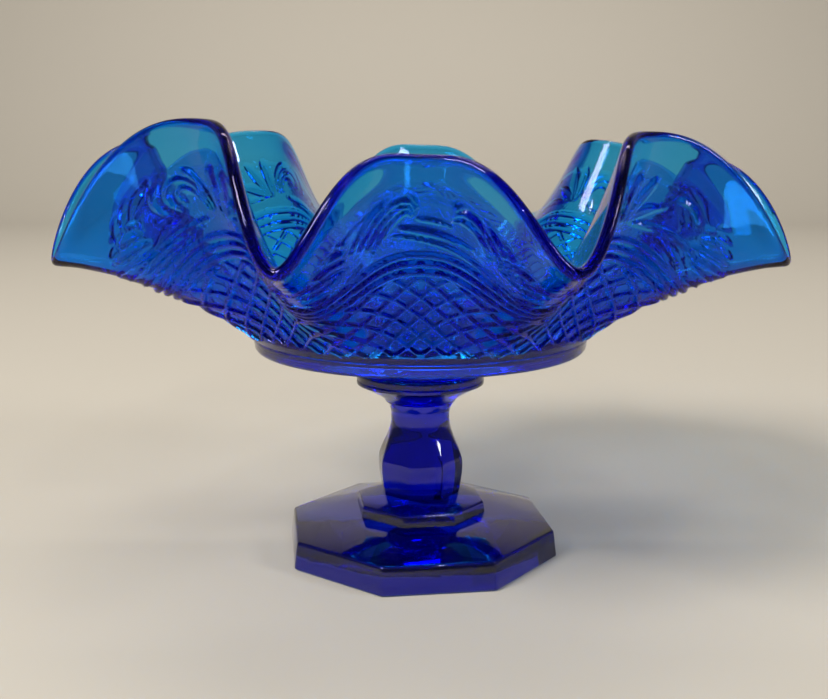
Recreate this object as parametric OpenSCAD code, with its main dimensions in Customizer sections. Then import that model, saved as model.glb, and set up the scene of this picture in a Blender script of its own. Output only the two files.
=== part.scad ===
// Footed pressed-glass compote: an octagonal foot, a baluster stem and a
// round-based bowl whose wall is pulled into eight upright flutes.
// Millimetres, +Z up, origin at the centre of the foot's underside.

/* [Foot] */
// Distance across the flats of the foot, at the table
foot_flats = 94; // [80:1:110]
// Height of the foot's upright edge
foot_edge_h = 9.8; // [7:0.2:12]
// Height where the sloping top of the foot meets the tier
foot_top_z = 14.4; // [13:0.2:16]
// Distance across the flats of the small octagonal tier
tier_flats = 44.6; // [40:0.2:50]
// Turn of the foot and stem against the flutes, degrees
foot_turn = 8; // [0:1:22]

/* [Stem] */
// Height where the stem stands on the tier
stem_base_z = 21.2; // [20:0.2:23]
// Distance across the flats at the stem's swelling
stem_flats = 29.4; // [26:0.2:32]
// Diameter of the round neck
neck_d = 21.2; // [18:0.2:23]
// Height of the narrowest part of the neck
neck_z = 50.5; // [48:0.5:53]

/* [Collar and wafer] */
// Diameter of the flared collar at its lip, and of the wafer on it
collar_d = 46; // [40:1:50]
// Height of the joint between collar and wafer
wafer_z = 63; // [62:0.5:65]
// Thickness of the wafer
wafer_h = 3; // [2:0.5:4]

/* [Bowl base] */
// Height of the ring under the bowl
ring_z = 75; // [74:0.5:77]
// Outside radius of that ring
ring_r = 59; // [57:0.5:60]
// Thickness of the bowl's floor
floor_h = 5; // [4:0.5:6]

/* [Bowl wall] */
// Mean height of the eight flute tops
crest_z = 146; // [140:0.5:152]
// How much higher every second flute top stands, halved
crest_step = 3; // [0:0.5:5]
// How much the hand-pulled flute tops rise to the left and drop to the right
rim_lean = 2.6; // [0:0.2:4]
// How far the flute tops beside the front one are pulled up, and those by the back one down
front_lift = 0.8; // [0:0.1:2]
// Radius of the rim at the flute tops
crest_r = 93; // [90:1:100]
// Height of the rim in the valleys between flutes
valley_z = 112; // [108:0.5:116]
// Mean radius of the rim in the valleys
valley_r = 118.5; // [112:0.5:120]
// How far the valleys are pulled wide to the left and right
valley_oval = 6; // [0:0.5:7]
// How far the valleys to the left and right are pulled down
valley_dip = 2.5; // [0:0.1:3]
// Degrees that the valleys are drawn in, so that the front, back and side flutes are narrower
flute_pinch = 1.5; // [0:0.1:2]
// Wall thickness at the bowl's base
wall_low = 5.5; // [4.5:0.1:6.5]
// Wall thickness at the rim
wall_rim = 3.4; // [2.8:0.1:4]

/* [Hidden] */

glass = [0.02, 0.25, 0.68, 0.8];
glass_deep = [0.02, 0.14, 0.55, 0.85];

// Foot and tier: half widths of their octagons
foot_low = foot_flats / 2;
foot_high = foot_low - 1.2;
tier_half = tier_flats / 2;
tier_side_h = 4.2;
tier_top_half = 13.4;
spread = 2 * foot_flats;

// Stem sweep
stem_top_z = 55;
swell_at = 0.37;
core_extra = 6;
neck_flare = 2.1;
around = 64;
levels = 26;

// Collar: a flare from the neck out to an upright lip
collar_lip_h = 1.3;

// Bowl base section
ring_w = 8;
ring_round = 2;
recess_z = ring_z + 3;
floor_z = recess_z + floor_h;
boss_low_r = 20;
boss_high_r = 26;

// Bowl wall: one Bezier section, from its foot in the base to the rim, steeper
// under a flute's top than under the valley beside it
foot_rz = [58.2, ring_z + 8.4];
low_crest_rz = [60, ring_z + 21];
low_valley_rz = [68, ring_z + 17.5];
mid_crest_rz = [78.5, ring_z + 34];
mid_valley_rz = [95, ring_z + 31];
// Way out across the wall where it is joined to the base
joint_out = [sin(60), -cos(60)];
flute_angle = 45;
flute_power = 1.95;
reach_power = 1.15;
// Hand-pulled twists of the rim, each an angle from the front and the degrees it is turned
twists = [[-32, 2.5], [145, -7]];
twist_width = 18;
wall_turns = 144;
wall_steps = 14;
rim_steps = 4;

// ---------- shared shapes ----------

// Solid with eight flat sides: four equal slabs, each with the given half
// section, crossed at 45 degrees
module eight_sided(half_section) {
    section = concat(half_section, [for (i = [len(half_section) - 1:-1:0])
        [-half_section[i][0], half_section[i][1]]]);
    intersection_for (turn = [0:45:135])
        rotate([0, 0, foot_turn + turn]) rotate([90, 0, 0])
            translate([0, 0, -spread / 2]) linear_extrude(spread) polygon(section);
}

// Closed skin over rings of points, first ring at the bottom, all of one length
module skin_rings(rings) {
    n = len(rings[0]);
    m = len(rings);
    points = concat([for (ring = rings) each ring]);
    sides = [for (j = [0:m - 2], i = [0:n - 1])
        [j * n + i, (j + 1) * n + i, (j + 1) * n + (i + 1) % n, j * n + (i + 1) % n]];
    polyhedron(points, concat(sides, [[for (i = [0:n - 1]) i],
        [for (i = [n - 1:-1:0]) (m - 1) * n + i]]));
}

// Closed skin over rings that also close on each other, as round a tube
module skin_loop(rings) {
    n = len(rings[0]);
    m = len(rings);
    points = concat([for (ring = rings) each ring]);
    faces = [for (j = [0:m - 1], i = [0:n - 1])
        let (a = j * n + i, b = ((j + 1) % m) * n + i,
             c = ((j + 1) % m) * n + (i + 1) % n, d = j * n + (i + 1) % n)
        each [[a, b, c], [a, c, d]]];
    polyhedron(points, faces);
}

// ---------- stem rules ----------

// Smooth step from 0 to 1
function ease(x) = let (c = min(max(x, 0), 1)) c * c * (3 - 2 * c);
// Share of the way from the tier to the neck
function stem_share(z) = (z - stem_base_z) / (neck_z - stem_base_z);
// Half width of the eight flats: out to the swelling, then in to the neck
function flat_half(z) = let (f = stem_share(z), wide = stem_flats / 2)
    f < swell_at ? mix(tier_top_half, wide, sin(90 * f / swell_at))
    : mix(wide, neck_d / 2 + 0.5, ease((f - swell_at) / 0.48));
// Radius of the round core that trims the flats into arches below the neck,
// and opens out again above it
function core_r(z) = neck_d / 2 + core_extra * (1 - ease((stem_share(z) - 0.3) / 0.62))
    + (z > neck_z ? pow((z - neck_z) / (stem_top_z - neck_z), 2) * neck_flare : 0);
// Radius of the stem at an angle and a height
function stem_r(a, z) = let (off = (a + 22.5) % 45 - 22.5)
    min(core_r(z), flat_half(z) / cos(off));

// ---------- bowl rules ----------

// Distance from the nearest flute top, 0 on it and 1 in the valley
function from_crest(a) = abs((a + flute_angle * 8.5) % flute_angle - flute_angle / 2)
    / (flute_angle / 2);
function swing(u, power) = (1 - cos(180 * pow(u, power))) / 2;
function mix(a, b, f) = a + (b - a) * f;
// Height and radius of the rim at an angle, measured from the front (-Y)
function rim_z(a) = let (
    top = crest_z - crest_step * cos(4 * a) - rim_lean * sin(a)
        + front_lift * (cos(a) - 1.6 * cos(3 * a)),
    low = valley_z + valley_dip * cos(2 * a))
    mix(top, low, swing(from_crest(a), flute_power));
function rim_r(a) = mix(crest_r, valley_r - valley_oval * cos(2 * a),
    swing(from_crest(a), reach_power));
function bezier(p, v) = pow(1 - v, 3) * p[0] + 3 * v * pow(1 - v, 2) * p[1]
    + 3 * v * v * (1 - v) * p[2] + pow(v, 3) * p[3];
// Turn of the rim at an angle: the pinch of every flute and the two twists
function twist(a) = [for (t = twists) let (off = (a - t[0] + 540) % 360 - 180)
        t[1] * exp(-pow(off / twist_width, 2))] * [for (t = twists) 1]
    - flute_pinch * sin(4 * a);
// Middle of the wall at an angle, v = 0 at the base and 1 at the rim
function wall_mid(a, v) = let (
    share = swing(from_crest(a), reach_power),
    rz = bezier([foot_rz, mix(low_crest_rz, low_valley_rz, share),
                 mix(mid_crest_rz, mid_valley_rz, share), [rim_r(a), rim_z(a)]], v))
    at_angle(a + twist(a) * v * v, rz);
function unit(p) = p / norm(p);
function at_angle(a, rz) = [rz[0] * sin(a), -rz[0] * cos(a), rz[1]];
// Direction up the wall, and the outward normal of its middle surface
function wall_up(a, v) = unit(wall_mid(a, v + 0.001) - wall_mid(a, v - 0.001));
function wall_out(a, v) = unit(cross(wall_mid(a + 0.05, v) - wall_mid(a - 0.05, v), wall_up(a, v)));
function wall_half(v) = mix(wall_low, wall_rim, v) / 2;
// Point of the wall's outer (side = 1) or inner (side = -1) skin
function wall_skin(a, v, side) = v == 0 ? at_angle(a, foot_rz + joint_out * side * wall_low / 2)
    : wall_mid(a, v) + wall_out(a, v) * side * wall_half(v);
// Section of the wall at an angle: up the outside, over the rim, down the inside
function wall_section(a) = concat(
    [for (k = [0:wall_steps]) wall_skin(a, k / wall_steps, 1)],
    [for (k = [1:rim_steps - 1]) let (b = 180 * k / rim_steps)
        wall_mid(a, 1) + (wall_out(a, 1) * cos(b) + wall_up(a, 1) * sin(b)) * wall_half(1)],
    [for (k = [wall_steps:-1:0]) wall_skin(a, k / wall_steps, -1)]);

// ---------- sub-parts ----------

// Octagonal foot with a leaning edge and eight sloping top facets
module foot() {
    color(glass)
        eight_sided([[foot_low, 0], [foot_high, foot_edge_h], [tier_half, foot_top_z]]);
}

// Small octagonal tier that carries the stem
module tier() {
    color(glass) eight_sided([[tier_half, foot_top_z],
        [tier_half - 0.5, foot_top_z + tier_side_h], [tier_top_half, stem_base_z]]);
}

// Baluster stem, eight flats that fade into a round neck in arches
module stem() {
    color(glass_deep) rotate([0, 0, foot_turn + 22.5])
        skin_rings([for (k = [0:levels]) let (z = mix(stem_base_z, stem_top_z, k / levels))
            [for (i = [0:around - 1]) let (a = 360 * i / around, r = stem_r(a - 22.5 + 45, z))
                [r * cos(a), r * sin(a), z]]]);
}

// Round flare from the neck to the joint
module collar() {
    low_r = core_r(stem_top_z);
    lip_r = collar_d / 2;
    lip_z = wafer_z - collar_lip_h;
    flare = [[low_r, stem_top_z], [low_r + 0.7, mix(stem_top_z, lip_z, 0.3)],
             [mix(low_r, lip_r, 0.48), mix(stem_top_z, lip_z, 0.58)], [lip_r, lip_z]];
    color(glass_deep) rotate_extrude($fn = 96)
        polygon(concat([[0, stem_top_z]], [for (k = [0:12]) bezier(flare, k / 12)],
            [[lip_r, wafer_z], [0, wafer_z]]));
}

// Disc of glass that joined the bowl to the stem while both were hot
module wafer() {
    color(glass_deep) translate([0, 0, wafer_z])
        cylinder(h = wafer_h, d = collar_d, $fn = 96);
}

// Short post under the bowl's floor, widening into it
module bowl_boss() {
    low_z = wafer_z + wafer_h;
    color(glass_deep) rotate_extrude($fn = 96)
        polygon(concat([[0, low_z]],
            [for (b = [0:15:90]) [boss_low_r + (boss_high_r - boss_low_r) * (1 - cos(b)),
                                  mix(low_z, recess_z, sin(b))]],
            [[0, recess_z]]));
}

// Floor of the bowl with the flat ring round its underside
module bowl_base() {
    inner_ring_r = ring_r - ring_w;
    wall_in = foot_rz - joint_out * wall_low / 2;
    floor_curve = 10;
    color(glass_deep) rotate_extrude($fn = 144)
        polygon(concat([[0, recess_z], [inner_ring_r - 2, recess_z], [inner_ring_r, ring_z]],
            [for (b = [-90:15:-30]) [ring_r - ring_round + ring_round * cos(b),
                                     ring_z + ring_round + ring_round * sin(b)]],
            [foot_rz + joint_out * wall_low / 2, wall_in],
            [for (b = [75:-15:0]) [wall_in[0] - floor_curve * (1 - sin(b)),
                                   wall_in[1] - (wall_in[1] - floor_z) * cos(b)]],
            [[0, floor_z]]));
}

// Fluted wall of the bowl, up to its rounded rim
module bowl_wall() {
    color(glass) skin_loop([for (i = [0:wall_turns - 1]) wall_section(-360 * i / wall_turns)]);
}

foot();
tier();
stem();
collar();
wafer();
bowl_boss();
bowl_base();
bowl_wall();
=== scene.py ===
"""Looks of the footed glass bowl: clear blue pressed glass with eight flutes.

Every piece is a closed body of glass that replaces the CAD node of the same
name. Lengths are in millimetres until a mesh is made.
"""
import math

import bmesh
import bpy
import numpy as np
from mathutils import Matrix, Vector


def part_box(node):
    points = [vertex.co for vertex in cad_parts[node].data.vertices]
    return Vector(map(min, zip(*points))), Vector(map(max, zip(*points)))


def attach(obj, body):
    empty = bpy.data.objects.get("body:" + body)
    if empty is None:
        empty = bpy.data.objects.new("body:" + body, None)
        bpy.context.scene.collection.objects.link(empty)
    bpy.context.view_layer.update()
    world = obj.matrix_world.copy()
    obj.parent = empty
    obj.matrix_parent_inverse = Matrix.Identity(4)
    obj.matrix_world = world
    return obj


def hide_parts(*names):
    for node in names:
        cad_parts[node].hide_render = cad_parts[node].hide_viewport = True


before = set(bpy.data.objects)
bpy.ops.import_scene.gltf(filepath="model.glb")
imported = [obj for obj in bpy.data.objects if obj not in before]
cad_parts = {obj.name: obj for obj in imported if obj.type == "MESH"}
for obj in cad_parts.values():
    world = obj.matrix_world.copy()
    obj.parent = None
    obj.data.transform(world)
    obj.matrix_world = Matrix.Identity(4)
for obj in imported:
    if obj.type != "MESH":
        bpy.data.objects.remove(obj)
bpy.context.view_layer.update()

MM = 0.001


def node_box(node):
    """Lowest and highest corner of a CAD node, in millimetres."""
    low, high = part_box(node)
    return np.array(low) / MM, np.array(high) / MM


# ---------- driving sizes ----------

SEAM_GAP = -0.01         # half the gap between fused faces; negative, so they overlap and light crosses
FOOT_TURN = 8.0          # degrees, foot and stem against the flutes
FOOT_EDGE_Z = 9.8
TIER_SIDE_H = 4.2
TIER_TOP_HALF = 13.4
FOOT_HALF = 47.0
FOOT_LEAN = 1.2
TIER_HALF = 22.3

FOOT_TOP_Z = node_box("foot")[1][2]
STEM_Z = node_box("stem")[0][2], node_box("stem")[1][2]
WAFER_Z = node_box("wafer")[0][2], node_box("wafer")[1][2]
WAFER_R = node_box("wafer")[1][0]
RECESS_Z = node_box("bowl_boss")[1][2]
RING_Z = node_box("bowl_base")[0][2]
BOSS_R = 20.0, 26.0

STEM_HALF = 14.7         # half across the flats at the swelling
NECK_R = 10.6
NECK_Z = 50.5
SWELL_AT = 0.37
CORE_EXTRA = 6.0
NECK_FLARE = 2.1
COLLAR_LIP_H = 1.3

RING_R = 59.0
RING_W = 8.0
FLOOR_H = 5.0
FLOOR_CURVE = 10.0

# Bowl wall: one Bezier section, steeper under a crest than under a valley
FOOT_RZ = np.array([58.2, RING_Z + 8.4])
LOW_RZ = np.array([[60.0, RING_Z + 21.0], [68.0, RING_Z + 17.5]])
MID_RZ = np.array([[78.5, RING_Z + 34.0], [95.0, RING_Z + 31.0]])
JOINT_OUT = np.array([math.sin(math.radians(60)), -math.cos(math.radians(60))])
CREST_Z, CREST_STEP, RIM_LEAN, FRONT_LIFT = 146.0, 3.0, 2.6, 0.8
CREST_R = 93.0
VALLEY_Z, VALLEY_DIP = 112.0, 2.5
VALLEY_R, VALLEY_OVAL = 118.5, 6.0
FLUTE = 45.0
FLUTE_PINCH = 1.5
FLUTE_POWER, REACH_POWER = 1.95, 1.15
TWISTS = (-32.0, 2.5), (145.0, -7.0)     # angle from the front, degrees the rim is turned there
TWIST_WIDTH = 18.0
WALL_LOW, WALL_RIM = 5.5, 3.4

PER_FLUTE = 144          # columns of the wall mesh in one flute
OUTER_ROWS = 168
INNER_ROWS = 40
RIM_ROWS = 8
AROUND = 192             # columns of a turned piece


# ---------- meshes ----------

def add_object(name, data):
    """A new object in the scene for a mesh, a lamp or a camera."""
    added = bpy.data.objects.new(name, data)
    bpy.context.scene.collection.objects.link(added)
    return added


def new_piece(name, verts, faces, sharp):
    """A closed, smooth-shaded piece with creases above the given angle."""
    mesh = bpy.data.meshes.new(name)
    mesh.from_pydata([], [], [])
    verts = np.asarray(verts, float) * MM
    loops = np.concatenate([np.asarray(f, int).ravel() for f in faces])
    sizes = np.concatenate([np.full(len(f), f.shape[1]) for f in faces])
    starts = np.concatenate([[0], np.cumsum(sizes)[:-1]])
    mesh.vertices.add(len(verts))
    mesh.vertices.foreach_set("co", verts.ravel())
    mesh.loops.add(len(loops))
    mesh.loops.foreach_set("vertex_index", loops)
    mesh.polygons.add(len(sizes))
    mesh.polygons.foreach_set("loop_start", starts)
    mesh.polygons.foreach_set("loop_total", sizes)
    mesh.polygons.foreach_set("use_smooth", np.ones(len(sizes), bool))
    mesh.update(calc_edges=True)
    mesh.validate()
    mesh.set_sharp_from_angle(angle=math.radians(sharp))
    return add_object(name, mesh)


def turned(name, outline):
    """A solid of revolution. outline runs from the axis at the bottom to the axis at the top."""
    outline = np.array(outline, float)
    turn = np.arange(AROUND) * 2 * math.pi / AROUND
    middle = outline[1:-1]
    m = len(middle)
    rings = np.stack([middle[:, None, 0] * np.cos(turn), middle[:, None, 0] * np.sin(turn),
                      np.broadcast_to(middle[:, None, 1], (m, AROUND))], -1)
    verts = np.concatenate([rings.reshape(-1, 3), [[0, 0, outline[0][1]], [0, 0, outline[-1][1]]]])
    i = np.arange(AROUND)
    nxt = (i + 1) % AROUND
    quads = []
    for j in range(m - 1):
        quads.append(np.stack([j * AROUND + i, j * AROUND + nxt,
                               (j + 1) * AROUND + nxt, (j + 1) * AROUND + i], -1))
    low, high = m * AROUND, m * AROUND + 1
    fan_low = np.stack([nxt, i, np.full(AROUND, low)], -1)
    top = (m - 1) * AROUND
    fan_high = np.stack([top + i, top + nxt, np.full(AROUND, high)], -1)
    return new_piece(name, verts, [np.concatenate(quads), np.concatenate([fan_low, fan_high])], 40)


def eight_sided(name, levels, rounded, width):
    """An octagonal piece from (half width, height) levels. The edge rings named in rounded, and
    the upright corners between them, get a bevel of the given width."""
    bm = bmesh.new()
    rings = []
    for half, z in levels:
        reach = half / math.cos(math.pi / 8)
        ring = []
        for k in range(8):
            a = math.radians(FOOT_TURN + 22.5 + 45 * k)
            ring.append(bm.verts.new((reach * math.cos(a) * MM, reach * math.sin(a) * MM, z * MM)))
        rings.append(ring)
    bm.faces.new(rings[0][::-1])
    bm.faces.new(rings[-1])
    for below, above in zip(rings, rings[1:]):
        for k in range(8):
            n = (k + 1) % 8
            bm.faces.new((below[k], below[n], above[n], above[k]))
    soft = [e for e in bm.edges for r in rounded if all(v in rings[r] for v in e.verts)]
    for r, q in zip(rounded, rounded[1:]):
        soft += [bm.edges.get((rings[r][k], rings[q][k])) for k in range(8)]
    bmesh.ops.bevel(bm, geom=soft, offset=width * MM, offset_type="OFFSET", segments=4,
                    profile=0.5, affect="EDGES", clamp_overlap=True, material=0)
    mesh = bpy.data.meshes.new(name)
    bm.to_mesh(mesh)
    bm.free()
    mesh.polygons.foreach_set("use_smooth", np.ones(len(mesh.polygons), bool))
    mesh.set_sharp_from_angle(angle=math.radians(30))
    return add_object(name, mesh)


def arc(centre, radius, start, end, steps=6):
    """Points on a circle between two angles in degrees, both ends included."""
    return [(centre[0] + radius * math.cos(math.radians(b)),
             centre[1] + radius * math.sin(math.radians(b)))
            for b in np.linspace(start, end, steps + 1)]


def curve_points(points, steps=24):
    """Smooth run through a few control points, as a Bezier of that degree."""
    t = np.linspace(0, 1, steps)[:, None]
    n = len(points) - 1
    return sum(math.comb(n, i) * t ** i * (1 - t) ** (n - i) * np.array(p, float)
               for i, p in enumerate(points))


# ---------- foot, tier and stem ----------

def foot():
    levels = [(FOOT_HALF, 0), (FOOT_HALF - FOOT_LEAN, FOOT_EDGE_Z), (TIER_HALF, FOOT_TOP_Z - SEAM_GAP)]
    return eight_sided("foot_glass", levels, [0, 1], 0.9)


def tier():
    levels = [(TIER_HALF, FOOT_TOP_Z + SEAM_GAP), (TIER_HALF - 0.5, FOOT_TOP_Z + TIER_SIDE_H),
              (TIER_TOP_HALF, STEM_Z[0] - SEAM_GAP)]
    return eight_sided("tier_glass", levels, [1], 0.7)


def ease(x):
    c = np.clip(x, 0, 1)
    return c * c * (3 - 2 * c)


def stem_share(z):
    return (z - STEM_Z[0]) / (NECK_Z - STEM_Z[0])


def core_r(z):
    over = np.maximum(z - NECK_Z, 0) / (STEM_Z[1] - NECK_Z)
    return NECK_R + CORE_EXTRA * (1 - ease((stem_share(z) - 0.3) / 0.62)) + over ** 2 * NECK_FLARE


def flat_half(z):
    f = stem_share(z)
    low = TIER_TOP_HALF + (STEM_HALF - TIER_TOP_HALF) * np.sin(
        np.radians(90 * np.minimum(f, SWELL_AT) / SWELL_AT))
    high = STEM_HALF + (NECK_R + 0.5 - STEM_HALF) * ease((f - SWELL_AT) / 0.48)
    return np.where(f < SWELL_AT, low, high)


def soft_min(a, b, width):
    """The smaller of a and b, with a fillet of about that width where they cross."""
    h = np.clip(0.5 + 0.5 * (b - a) / width, 0, 1)
    return b + (a - b) * h - width * h * (1 - h)


def stem():
    rows, around = 90, AROUND
    z = np.linspace(STEM_Z[0] + SEAM_GAP, STEM_Z[1] - SEAM_GAP, rows)[:, None]
    a = np.arange(around)[None, :] * 360.0 / around
    off = np.abs((a + 22.5) % 45 - 22.5)
    flats = flat_half(z) / np.cos(np.minimum(np.radians(off), np.radians(21.6)))
    r = soft_min(core_r(z), flats, 0.25)
    turn = np.radians(a + FOOT_TURN)
    rings = np.stack([r * np.cos(turn), r * np.sin(turn), np.broadcast_to(z, r.shape)], -1)
    verts = np.concatenate([rings.reshape(-1, 3), [[0, 0, z[0, 0]], [0, 0, z[-1, 0]]]])
    i = np.arange(around)
    nxt = (i + 1) % around
    quads = np.concatenate([np.stack([j * around + i, j * around + nxt, (j + 1) * around + nxt,
                                      (j + 1) * around + i], -1) for j in range(rows - 1)])
    low, high, top = rows * around, rows * around + 1, (rows - 1) * around
    fans = np.concatenate([np.stack([nxt, i, np.full(around, low)], -1),
                           np.stack([top + i, top + nxt, np.full(around, high)], -1)])
    return new_piece("stem_glass", verts, [quads, fans], 14)


def collar():
    low_r = float(core_r(STEM_Z[1]))
    low_z, high_z = STEM_Z[1] + SEAM_GAP, WAFER_Z[0] - SEAM_GAP
    edge, rise = 0.45, high_z - COLLAR_LIP_H - low_z
    flare = curve_points([(low_r, low_z), (low_r + 0.7, low_z + 0.3 * rise),
                          (low_r + 0.48 * (WAFER_R - low_r), low_z + 0.58 * rise),
                          (WAFER_R, low_z + rise)])
    lip = arc((WAFER_R - edge, high_z - edge), edge, 0, 90)
    outline = [(0, low_z)] + [tuple(p) for p in flare] + lip + [(0, high_z)]
    return turned("collar_glass", outline)


def wafer():
    low, high = WAFER_Z[0] + SEAM_GAP, WAFER_Z[1]
    edge, lip = 0.45, 1.1
    outline = [(0, low), (WAFER_R - edge, low)] + arc((WAFER_R - edge, low + edge), edge, -80, 0, 5)
    outline += arc((WAFER_R - lip, high - lip), lip, 0, 90)
    outline += [(BOSS_R[0], high - SEAM_GAP), (0, high - SEAM_GAP)]
    return turned("wafer_glass", outline)


def bowl_boss():
    low, high = WAFER_Z[1] + SEAM_GAP, RECESS_Z - SEAM_GAP
    flare = [(BOSS_R[0] + (BOSS_R[1] - BOSS_R[0]) * (1 - math.cos(math.radians(b))),
              low + (high - low) * math.sin(math.radians(b))) for b in range(0, 91, 6)]
    outline = [(0, low)] + flare + [(0, high)]
    return turned("bowl_boss_glass", outline)


def bowl_base():
    inner = RING_R - RING_W
    wall_in = FOOT_RZ - JOINT_OUT * WALL_LOW / 2
    wall_out = FOOT_RZ + JOINT_OUT * WALL_LOW / 2
    along = np.array([JOINT_OUT[1], -JOINT_OUT[0]]) * SEAM_GAP
    floor_z = RECESS_Z + FLOOR_H
    outline = [(0, RECESS_Z), (BOSS_R[1], RECESS_Z), (inner - 2.6, RECESS_Z)]
    outline += arc((inner - 2.6, RECESS_Z - 1.2), 1.2, 80, 20, 4)
    outline += arc((inner + 1.0, RING_Z + 1.0), 1.0, 200, 270, 5)
    outline += arc((RING_R - 2.0, RING_Z + 2.0), 2.0, -90, -8, 8)
    outline += arc((RING_R - 1.0, RING_Z + 4.4), 1.4, -20, 20, 4)
    outline += [tuple(wall_out + along), tuple(wall_in + along)]
    outline += [(wall_in[0] - FLOOR_CURVE * (1 - math.sin(math.radians(b))),
                 wall_in[1] - (wall_in[1] - floor_z) * math.cos(math.radians(b)))
                for b in range(80, -1, -8)]
    outline += [(0, floor_z)]
    return turned("bowl_base_glass", outline)


# ---------- bowl wall ----------

def from_crest(a):
    return np.abs((a + FLUTE / 2) % FLUTE - FLUTE / 2) / (FLUTE / 2)


def swing(u, power):
    return (1 - np.cos(math.pi * u ** power)) / 2


def twist(a):
    """Degrees the rim is turned at an angle: the pinch of every flute and the two twists."""
    turned_by = -FLUTE_PINCH * np.sin(np.radians(4 * a))
    for at, amount in TWISTS:
        off = (a - at + 180) % 360 - 180
        turned_by = turned_by + amount * np.exp(-(off / TWIST_WIDTH) ** 2)
    return turned_by


def wall_mid(a, v):
    """Middle of the wall at an angle in degrees from the front, v = 0 at the base, 1 at the rim."""
    turn = np.radians(a)
    share = swing(from_crest(a), REACH_POWER)
    top = (CREST_Z - CREST_STEP * np.cos(4 * turn) - RIM_LEAN * np.sin(turn)
           + FRONT_LIFT * (np.cos(turn) - 1.6 * np.cos(3 * turn)))
    low = VALLEY_Z + VALLEY_DIP * np.cos(2 * turn)
    rim_z = top + (low - top) * swing(from_crest(a), FLUTE_POWER)
    rim_r = CREST_R + (VALLEY_R - VALLEY_OVAL * np.cos(2 * turn) - CREST_R) * share
    w = [(1 - v) ** 3, 3 * v * (1 - v) ** 2, 3 * v * v * (1 - v), v ** 3]
    rz = [w[0] * FOOT_RZ[c] + w[1] * (LOW_RZ[0][c] + share * (LOW_RZ[1][c] - LOW_RZ[0][c]))
          + w[2] * (MID_RZ[0][c] + share * (MID_RZ[1][c] - MID_RZ[0][c])) + w[3] * end
          for c, end in ((0, rim_r), (1, rim_z))]
    pulled = np.radians(a + twist(a) * v * v)
    return np.stack([rz[0] * np.sin(pulled), -rz[0] * np.cos(pulled), rz[1]], -1)


def unit(p):
    return p / np.linalg.norm(p, axis=-1, keepdims=True)


def wall_up(a, v):
    return unit(wall_mid(a, v + 0.001) - wall_mid(a, v - 0.001))


def wall_out(a, v):
    return unit(np.cross(wall_mid(a + 0.05, v) - wall_mid(a - 0.05, v), wall_up(a, v)))


def wall_half(v):
    return (WALL_LOW + (WALL_RIM - WALL_LOW) * v) / 2


# ---------- raised pattern on the outside of the wall ----------

CREST_LINE = wall_mid(np.zeros(401), np.linspace(0, 1, 401))
CREST_RUN = np.concatenate([[0], np.cumsum(np.linalg.norm(np.diff(CREST_LINE, axis=0), axis=1))])
SIDE_SCALE = 1.45        # millimetres across a flute for each degree, at its mean radius


def run_up(v):
    """Length along the wall from the base, measured on a crest."""
    return np.interp(v, np.linspace(0, 1, 401), CREST_RUN)


WALL_RUN = float(run_up(1.0))
DIAMOND_H = 8.1
DIAMOND_DEG = 7.5
RIDGE_H = 1.1
ARC_RUN = 33.8           # where the lowest arc crosses a flute's middle
ARC_GAP = 3.1
ARC_DROP = 7.0
PLAIN_BAND = 10.0        # smooth glass below the rim


def bump(d, width):
    """A rounded ridge, 1 on its line and 0 at that half width."""
    return np.clip(1 - (d / width) ** 2, 0, 1) ** 1.3


def flat_ridge(d, width):
    """A rounded ridge with a narrow flat top."""
    return np.minimum(bump(d, width), 0.7) / 0.7


def arc_line(x, start):
    return start - ARC_DROP * swing(np.abs(x) / (FLUTE / 2), 1.2)


def diamonds(x, y):
    """Lattice of flat-topped ridges round shallow hollows, below the arcs."""
    a = x / DIAMOND_DEG + y / DIAMOND_H
    b = x / DIAMOND_DEG - y / DIAMOND_H
    near = np.minimum(np.abs(a - np.round(a)), np.abs(b - np.round(b)))
    sunk = np.abs(np.sin(math.pi * a) * np.sin(math.pi * b)) ** 0.8
    inside = ease((arc_line(x, ARC_RUN) - 1.2 - y) / 0.8) * ease((y - 0.2) / 0.8)
    return inside * (RIDGE_H * flat_ridge(near, 0.14) - 0.5 * sunk)


def arcs(x, y):
    """Three scalloped ridges that arch over the diamonds of each flute."""
    h = 0
    for k in range(3):
        h = np.maximum(h, 1.2 * flat_ridge(y - arc_line(x, ARC_RUN + k * ARC_GAP), 1.35))
    return h


def along(x, y, line):
    """Distance to a line of points, and how far along it the nearest place is, 0 to 1."""
    best = np.full(x.shape, 1e9)
    where = np.zeros(x.shape)
    for i, (start, end) in enumerate(zip(line, line[1:])):
        d = end - start
        t = np.clip(((x - start[0]) * d[0] + (y - start[1]) * d[1]) / (d @ d), 0, 1)
        away = np.hypot(x - start[0] - t * d[0], y - start[1] - t * d[1])
        nearer = away < best
        best = np.where(nearer, away, best)
        where = np.where(nearer, (i + t) / (len(line) - 1), where)
    return best, where


def blade(x, y, points, width, height, vein=0.45):
    """A leaf blade: pointed, widest two fifths of the way along, with a sunk vein."""
    d, t = along(x, y, curve_points(points))
    half = width * np.clip(np.sin(math.pi * np.clip(t, 0.02, 0.985) ** 0.75), 0.05, 1)
    body = height * bump(d, np.maximum(half, 0.15))
    return body * (1 - vein * np.exp(-(d / (0.22 * half + 0.1)) ** 2))


def bundle(x, y, first, last, count, width, height):
    """Parallel ridges that change shape evenly from the first run of points to the last."""
    first, last = np.array(first, float), np.array(last, float)
    h = np.zeros(x.shape)
    for f in np.linspace(0, 1, count):
        h = np.maximum(h, blade(x, y, first + (last - first) * f, width, height, 0.0))
    return h


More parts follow.
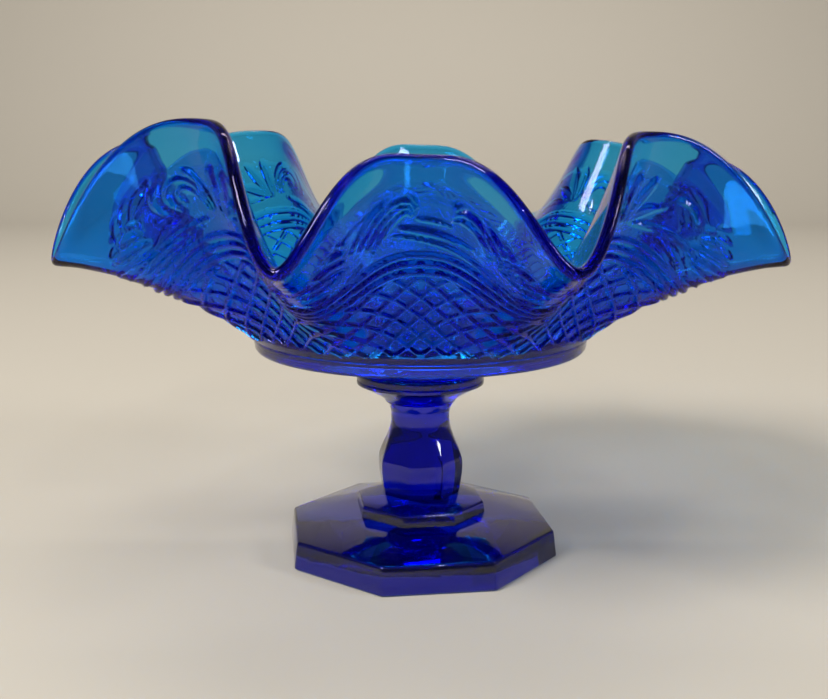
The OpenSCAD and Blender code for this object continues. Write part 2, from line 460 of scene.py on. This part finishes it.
def side_sprays(x, y):
    """Veined sprays that run out to the valleys on both sides of a flute."""
    h = bundle(np.abs(x), y, [(21, 52), (25, 59), (31.5, 61)], [(22, 43), (27, 45), (32, 48)], 4, 1.2, 1.0)
    return np.maximum(h, bundle(np.abs(x), y, [(24, 42), (28, 41), (32, 43)],
                                [(26, 37), (29, 36), (32, 38)], 2, 1.0, 0.9))


def design_scrolls(x, y):
    """Two curled bundles over long blades, as on the flutes at front, back and sides."""
    left = [(-20, 47), (-14.5, 57.5), (-5, 64), (-1, 60), (-0.6, 54.5)]
    left_in = [(-15, 43), (-11, 50), (-6, 55.5), (-4, 55), (-3, 53)]
    right = [(10.2, 53.5), (8.5, 63), (18.5, 64.5), (23.5, 53), (26.5, 42.5)]
    right_in = [(9.5, 52), (12.5, 54), (15.5, 53), (18, 49), (19.5, 45)]
    h = bundle(x, y, left, left_in, 4, 1.15, 1.25)
    h = np.maximum(h, bundle(x, y, right, right_in, 4, 1.15, 1.25))
    h = np.maximum(h, blade(x, y, [(-8, 49.6), (4.4, 48.2), (16.5, 44.6)], 1.7, 1.4, 0.0))
    h = np.maximum(h, blade(x, y, [(-2, 52.4), (4, 52.4), (10.5, 50)], 1.1, 1.1, 0.0))
    h = np.maximum(h, blade(x, y, [(-11, 47), (5, 45.6), (17, 41.8), (24, 36.5), (31, 33)], 1.0, 1.0, 0.0))
    h = np.maximum(h, bundle(x, y, [(-25, 38.5), (-21, 43)], [(-22, 36), (-17.5, 41)], 2, 0.8, 0.8))
    return h


def design_leaves(x, y):
    """A spray of three leaves beside a curled scroll, as on the four flutes between."""
    scroll = [(-2, 47), (-2.5, 60), (-15, 65), (-20.5, 53), (-15, 47.5)]
    scroll_in = [(-5, 47.5), (-5.5, 54), (-11, 56.5), (-13, 51.5), (-10.5, 50)]
    h = bundle(x, y, scroll, scroll_in, 3, 1.3, 1.25)
    for points in ([(0.5, 46), (-0.5, 55), (2.5, 63)], [(1.5, 46.5), (5, 53), (8.5, 60.5)],
                   [(1.5, 46), (7, 49), (13, 51.5)]):
        h = np.maximum(h, blade(x, y, points, 2.3, 1.4))
    h = np.maximum(h, bundle(x, y, [(12, 58), (18, 63), (23, 54)], [(14, 54), (17.5, 57), (20, 51)],
                             2, 1.1, 1.1))
    h = np.maximum(h, blade(x, y, [(4, 45.5), (12, 44.5), (20, 46), (25, 43)], 1.3, 1.1))
    h = np.maximum(h, bundle(x, y, [(-6, 45.5), (-14, 42.5), (-24, 42)],
                             [(-14, 40.5), (-22, 37.5), (-29, 37)],
                             3, 1.1, 1.0))
    return h


def stipple(x, y):
    """Fine uneven dots that fill the ground of the leaf band."""
    across = x * 4.6 + 1.3 * np.sin(y * 1.7) + 0.8 * np.sin(x * 0.9)
    upward = y * 4.4 + 1.1 * np.sin(x * 1.3) + 0.7 * np.sin(y * 0.8)
    return 0.5 + 0.5 * np.sin(across) * np.sin(upward)


def relief(a, v):
    """Height of the pattern at an angle and a place up the wall."""
    x = (a + FLUTE / 2) % FLUTE - FLUTE / 2
    y = run_up(v)
    mx = x * SIDE_SCALE
    h = np.maximum(diamonds(x, y), arcs(x, y))
    odd = (np.floor((a + FLUTE / 2) / FLUTE).astype(int) % 2) == 1
    top = WALL_RUN - PLAIN_BAND - 0.012 * mx ** 2
    band = ease((top - y) / 0.9)
    ground = band * ease((y - arc_line(x, ARC_RUN + 2 * ARC_GAP) - 1.4) / 0.8)
    leaf = np.where(odd, design_leaves(mx, y), design_scrolls(mx, y))
    leaf = np.maximum(leaf, side_sprays(mx, y))
    fade = ease((top + 1.5 - y) / 2.5)
    return np.maximum(h, leaf * fade) + 0.3 * band + 0.16 * ground * stipple(mx, y)


def bowl_wall():
    columns = 8 * PER_FLUTE
    a = -(np.arange(columns) * 360.0 / columns)[None, :]

    def skin(v, side, height):
        base = FOOT_RZ + JOINT_OUT * side * WALL_LOW / 2 + np.array([-JOINT_OUT[1], JOINT_OUT[0]]) * SEAM_GAP
        turn = np.radians(a)
        first = np.stack([base[0] * np.sin(turn), -base[0] * np.cos(turn), np.full_like(turn, base[1])], -1)
        rows = v[1:, None]
        full = np.broadcast_to(a, (len(rows), columns))
        place = wall_mid(full, rows) + wall_out(full, rows) * (side * wall_half(rows) + height)[..., None]
        return np.concatenate([first, place])

    v_out = np.linspace(0, 1, OUTER_ROWS + 1)
    v_in = np.linspace(0, 1, INNER_ROWS + 1)
    # Two flutes hold the whole pattern. It is sunk so that its ground is level with the plain wall
    pair = np.broadcast_to(a[:, :2 * PER_FLUTE], (OUTER_ROWS, 2 * PER_FLUTE))
    height = np.tile(relief(pair, v_out[1:, None] * np.ones_like(pair)) - 0.35, 4)
    height *= ease(v_out[1:, None] / 0.03)
    height = height * ease((1 - v_out[1:, None]) / 0.08)
    outer = skin(v_out, 1, height)
    inner = skin(v_in, -1, np.zeros((INNER_ROWS, columns)))[::-1]
    one = np.ones_like(a)
    over = []
    for b in np.linspace(0, math.pi, RIM_ROWS + 1)[1:-1]:
        over.append(wall_mid(a, one) + (wall_out(a, one) * math.cos(b) + wall_up(a, one) * math.sin(b))
                    * WALL_RIM / 2)
    rings = np.concatenate([outer] + over + [inner])
    m = len(rings)
    j = np.arange(m)[:, None]
    i = np.arange(columns)[None, :]
    below, above = j * columns, ((j + 1) % m) * columns
    quads = np.stack(np.broadcast_arrays(below + i, above + i, above + (i + 1) % columns,
                                         below + (i + 1) % columns), -1).reshape(-1, 4)
    return new_piece("bowl_wall_glass", rings.reshape(-1, 3), [quads], 60)


# ---------- materials ----------

PASSED = (0.0, 0.775, 0.98)          # share of each colour that is not absorbed


def absorb(tree, out, density):
    volume = tree.nodes.new("ShaderNodeVolumeAbsorption")
    volume.inputs["Color"].default_value = (*PASSED, 1)
    volume.inputs["Density"].default_value = density
    tree.links.new(volume.outputs[0], out.inputs["Volume"])


def glass(name, ripple, roughness, density, film=0.0):
    """Clear blue pressed glass: fire polished, with a faint ripple and a few dull patches.
    density is what it absorbs, per metre, of a colour it passes none of."""
    mat = bpy.data.materials.new(name)
    mat.use_nodes = True
    tree = mat.node_tree
    tree.nodes.clear()
    out = tree.nodes.new("ShaderNodeOutputMaterial")
    shader = tree.nodes.new("ShaderNodeBsdfPrincipled")
    shader.inputs["Base Color"].default_value = (0.86, 0.94, 1.0, 1)
    shader.inputs["Transmission Weight"].default_value = 1.0
    shader.inputs["IOR"].default_value = 1.51
    if film:
        shader.inputs["Thin Film Thickness"].default_value = film
        shader.inputs["Thin Film IOR"].default_value = 1.36
    tree.links.new(shader.outputs[0], out.inputs["Surface"])
    absorb(tree, out, density)
    place = tree.nodes.new("ShaderNodeTexCoord")
    patches = tree.nodes.new("ShaderNodeTexNoise")
    patches.inputs["Scale"].default_value = 35.0
    patches.inputs["Detail"].default_value = 4.0
    tree.links.new(place.outputs["Object"], patches.inputs["Vector"])
    dull = tree.nodes.new("ShaderNodeMapRange")
    dull.inputs["From Min"].default_value = 0.35
    dull.inputs["From Max"].default_value = 0.8
    dull.inputs["To Min"].default_value = roughness
    dull.inputs["To Max"].default_value = roughness * 3
    tree.links.new(patches.outputs["Fac"], dull.inputs["Value"])
    tree.links.new(dull.outputs["Result"], shader.inputs["Roughness"])
    waves = tree.nodes.new("ShaderNodeTexNoise")
    waves.inputs["Scale"].default_value = 90.0
    waves.inputs["Detail"].default_value = 2.0
    tree.links.new(place.outputs["Object"], waves.inputs["Vector"])
    wavy = tree.nodes.new("ShaderNodeBump")
    wavy.inputs["Strength"].default_value = ripple
    wavy.inputs["Distance"].default_value = 0.0006
    tree.links.new(waves.outputs["Fac"], wavy.inputs["Height"])
    tree.links.new(wavy.outputs["Normal"], shader.inputs["Normal"])
    return mat


def plain(name, colour, roughness):
    mat = bpy.data.materials.new(name)
    mat.use_nodes = True
    shader = mat.node_tree.nodes["Principled BSDF"]
    shader.inputs["Base Color"].default_value = (*colour, 1)
    shader.inputs["Roughness"].default_value = roughness
    return mat


# ---------- assembly ----------

# One blue glass in four copies that differ only in absorption. The copy on the foot and tier absorbs far
# less than the rest, so it looks lighter: painted light, standing in for the light that comes up through the
# foot from below.
lightened_foot_mat = glass("foot_glass", 0.10, 0.015, 420.0)
stem_mat = glass("stem_glass", 0.12, 0.015, 1100.0)
base_mat = glass("base_glass", 0.10, 0.02, 800.0)
wall_mat = glass("wall_glass", 0.08, 0.02, 850.0, film=110.0)

PIECES = [
    (foot, "foot", "foot_glass", lightened_foot_mat),
    (tier, "tier", "foot_glass", lightened_foot_mat),
    (stem, "stem", "stem_glass", stem_mat),
    (collar, "collar", "stem_glass", stem_mat),
    (wafer, "wafer", "stem_glass", stem_mat),
    (bowl_boss, "bowl_boss", "base_glass", base_mat),
    (bowl_base, "bowl_base", "base_glass", base_mat),
    (bowl_wall, "bowl_wall", "wall_glass", wall_mat),
]
for make, cad_node, slot_name, material in PIECES:
    piece = make()
    piece.data.materials.append(material)
    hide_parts(cad_node)
    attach(piece, "root")


# ---------- floor, light and camera ----------

FLOOR_Z = -0.0003        # metres: a hair under the foot, so that no two faces coincide


def stage_sheet():
    """Pale floor that sweeps up into a backdrop behind the bowl."""
    half, front, back, bend, top = 3.0, -3.0, 1.5, 0.5, 2.4
    line = [(front, FLOOR_Z)]
    line += [(back + bend * math.sin(math.radians(b)), FLOOR_Z + bend * (1 - math.cos(math.radians(b))))
             for b in range(0, 91, 6)]
    line += [(back + bend, top)]
    verts = [(side * half, y, z) for y, z in line for side in (-1, 1)]
    faces = [(2 * k, 2 * k + 1, 2 * k + 3, 2 * k + 2) for k in range(len(line) - 1)]
    mesh = bpy.data.meshes.new("floor")
    mesh.from_pydata(verts, [], faces)
    mesh.polygons.foreach_set("use_smooth", np.ones(len(faces), bool))
    mesh.materials.append(plain("floor", (0.34, 0.31, 0.26), 0.7))
    add_object("floor", mesh)


def area_light(name, place, aim, size, power, colour):
    light = bpy.data.lights.new(name, "AREA")
    light.shape = "RECTANGLE"
    light.size, light.size_y = size
    light.energy = power
    light.color = colour
    lamp = add_object(name, light)
    lamp.location = place
    lamp.rotation_euler = (Vector(aim) - Vector(place)).to_track_quat("-Z", "Y").to_euler()


stage_sheet()
area_light("key", (-0.9, -0.8, 1.2), (0, 0, 0.1), (0.6, 0.5), 40, (1.0, 0.97, 0.93))
area_light("fill", (1.3, -0.5, 0.9), (0, 0, 0.1), (0.4, 0.4), 12, (0.95, 0.97, 1.0))
area_light("above", (0.1, 0.1, 1.5), (0, 0, 0.1), (0.5, 0.5), 4, (1.0, 0.98, 0.95))
area_light("backdrop", (0, 0.7, 1.7), (0, 2.0, 0.35), (1.8, 0.3), 33, (1.0, 0.97, 0.93))
for side, height in ((-0.35, 1.3), (0.4, 1.1), (0.05, 0.75)):
    area_light("ceiling_lamp", (side, -1.1, height), (0, 0, 0.12), (0.09, 0.09), 2.4, (1.0, 0.98, 0.95))

world = bpy.data.worlds.new("room")
world.use_nodes = True
world.node_tree.nodes["Background"].inputs["Color"].default_value = (0.92, 0.94, 1.0, 1)
world.node_tree.nodes["Background"].inputs["Strength"].default_value = 0.12
bpy.context.scene.world = world
bpy.context.scene.view_settings.view_transform = "Standard"
cycles = bpy.context.scene.cycles
cycles.max_bounces = 20
cycles.transmission_bounces = 20
cycles.glossy_bounces = 12
cycles.transparent_max_bounces = 24

lens = bpy.data.cameras.new("camera")
lens.sensor_width = 36.0
lens.lens = 48.45
lens.shift_y = -0.0129
camera = add_object("camera", lens)
camera.location = (0, -0.3935, 0.1492)
camera.rotation_euler = (math.radians(90 - 10.36), 0, math.radians(0.33))
bpy.context.scene.camera = camera
